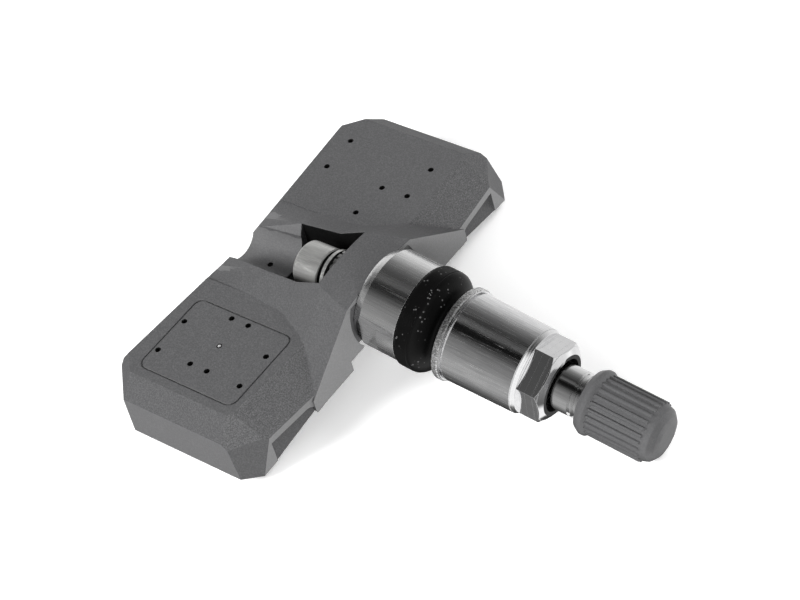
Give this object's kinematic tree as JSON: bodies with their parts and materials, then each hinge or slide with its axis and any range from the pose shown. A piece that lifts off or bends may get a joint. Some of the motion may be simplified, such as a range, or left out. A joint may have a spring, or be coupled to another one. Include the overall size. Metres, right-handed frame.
{
  "type": "tyre pressure sensor",
  "caption": "Clamp-in tyre pressure sensor: bevelled winged housing with a raised arch, screwed to an angled valve with grommet, sleeve nut and ribbed cap.",
  "frame": {"origin": "point where the valve's axis meets the rear face of the clamp washer, which is the rim's outer seat", "axes": "+X through the housing towards the valve cap, +Y along the wings, +Z normal to the housing's top; the valve leans 8.5 degrees down from +X"},
  "size_m": [0.0865, 0.0734, 0.0209],
  "materials": {
    "housing_plastic": "dark grey glass-filled nylon, fine moulded texture",
    "cover_plastic": "black nylon, satin",
    "board_laminate": "green solder mask",
    "chip_epoxy": "black moulded epoxy",
    "sensor_ceramic": "light grey ceramic",
    "filter_membrane": "white porous membrane",
    "crystal_metal": "satin nickel-plated can",
    "ferrite": "dark sintered ferrite",
    "copper_winding": "enamelled copper wire",
    "battery_steel": "satin nickel-plated can",
    "nickel_strip": "bright nickel strip",
    "valve_aluminium": "turned, brushed and plated bright",
    "nut_aluminium": "turned and polished bright",
    "washer_steel": "tumbled matt zinc plating",
    "screw_steel": "satin zinc plating",
    "grommet_rubber": "glossy black moulded rubber",
    "seal_rubber": "black rubber",
    "cap_plastic": "dark grey nylon, fine moulded texture",
    "core_brass": "turned brass",
    "spring_steel": "bright spring wire"
  },
  "bodies": {
    "sensor": {"housing_shell": "housing_plastic", "base_cover": "cover_plastic", "circuit_board": "board_laminate", "sensor_chip": "sensor_ceramic", "pressure_port_filter": "filter_membrane", "transmitter_chip": "chip_epoxy", "crystal_can": "crystal_metal", "chip_capacitors": "chip_epoxy", "antenna_core": "ferrite", "antenna_coil": "copper_winding", "battery_cell": "battery_steel", "battery_lead_negative": "nickel_strip", "battery_lead_positive": "nickel_strip", "valve_stem": "valve_aluminium", "rubber_grommet": "grommet_rubber", "valve_core_body": "core_brass", "core_seal": "seal_rubber", "core_spring": "spring_steel"},
    "screw_slider": {"screw_washer": "washer_steel"},
    "screw": {"mounting_screw": "screw_steel"},
    "nut_slider": {"clamp_washer": "washer_steel"},
    "nut": {"sleeve_nut": "nut_aluminium"},
    "cap_slider": {"cap_seal": "seal_rubber"},
    "cap": {"valve_cap": "cap_plastic"},
    "pin": {"core_pin": "core_brass"}
  },
  "joints": [
    {"name": "screw_travel", "type": "slide", "parent": "sensor", "child": "screw_slider", "axis": [-1, 0, 0], "range_m": [0, 0.00489]},
    {"name": "screw_turn", "type": "hinge", "parent": "screw_slider", "child": "screw", "pos_m": [-0.03, 0, 0.0023], "axis": [-1, 0, 0], "range_deg": [0, 2520]},
    {"name": "nut_travel", "type": "slide", "parent": "sensor", "child": "nut_slider", "axis": [0.989, 0, -0.1478], "range_m": [0, 0.00399]},
    {"name": "nut_turn", "type": "hinge", "parent": "nut_slider", "child": "nut", "pos_m": [0, 0, 0], "axis": [0.989, 0, -0.1478], "range_deg": [0, 1440]},
    {"name": "cap_travel", "type": "slide", "parent": "sensor", "child": "cap_slider", "axis": [0.989, 0, -0.1478], "range_m": [0, 0.0055]},
    {"name": "cap_turn", "type": "hinge", "parent": "cap_slider", "child": "cap", "pos_m": [0, 0, 0], "axis": [0.989, 0, -0.1478], "range_deg": [0, 2520]},
    {"name": "pin_press", "type": "slide", "parent": "sensor", "child": "pin", "axis": [-0.989, 0, 0.1478], "range_m": [0, 0.001], "stiffness_N_per_m": 2000, "springref_m": -0.001, "deforming": ["core_spring"]}
  ],
  "couplings": [
    {"joint": "screw_turn", "follows": "screw_travel", "rad_per_m": 8976},
    {"joint": "nut_turn", "follows": "nut_travel", "rad_per_m": 6283.2},
    {"joint": "cap_turn", "follows": "cap_travel", "rad_per_m": 7913.3}
  ]
}
